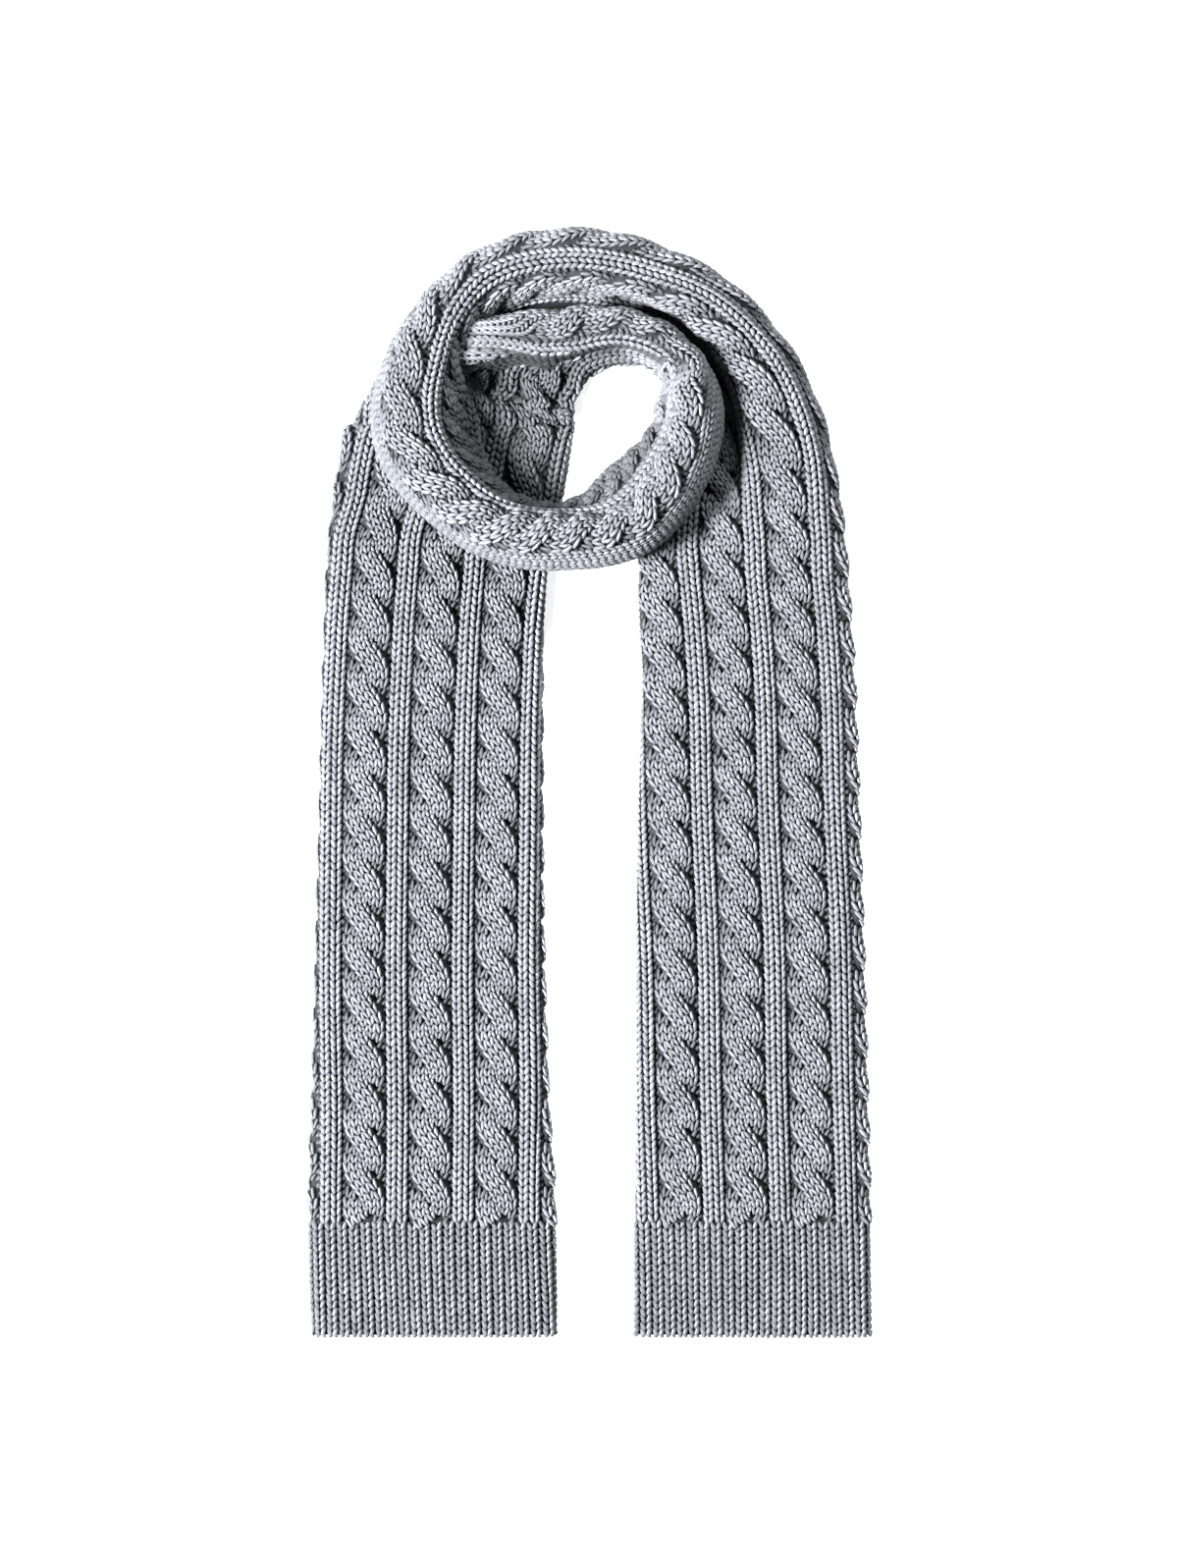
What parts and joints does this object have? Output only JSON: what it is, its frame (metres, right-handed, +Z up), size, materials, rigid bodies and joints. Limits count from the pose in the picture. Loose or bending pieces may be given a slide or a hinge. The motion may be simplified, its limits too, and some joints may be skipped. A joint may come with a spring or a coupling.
{
  "type": "knit scarf",
  "caption": "Chunky cable-knit scarf laid flat, wound once into a loop at the top, with both ribbed ends side by side below.",
  "frame": {"origin": "on the surface that the scarf lies on, at the middle of the box round it", "axes": "+Z up off the surface, +Y from the ribbed ends to the top of the loop, +X to the side of the right tail"},
  "size_m": [0.317, 0.6248, 0.0552],
  "materials": {
    "cable_knit": "soft heathered light grey plied yarn, matt, knitted in cables and ribs",
    "rib_knit": "the same heathered light grey yarn, matt, knitted in one by one rib"
  },
  "bodies": {
    "root": {"left_hem": "rib_knit", "left_tail": "cable_knit", "inner_turn": "cable_knit", "ring_right": "cable_knit", "ring_front": "cable_knit", "ring_left": "cable_knit", "outer_band": "cable_knit", "right_tail": "cable_knit", "right_hem": "rib_knit"}
  },
  "joints": []
}
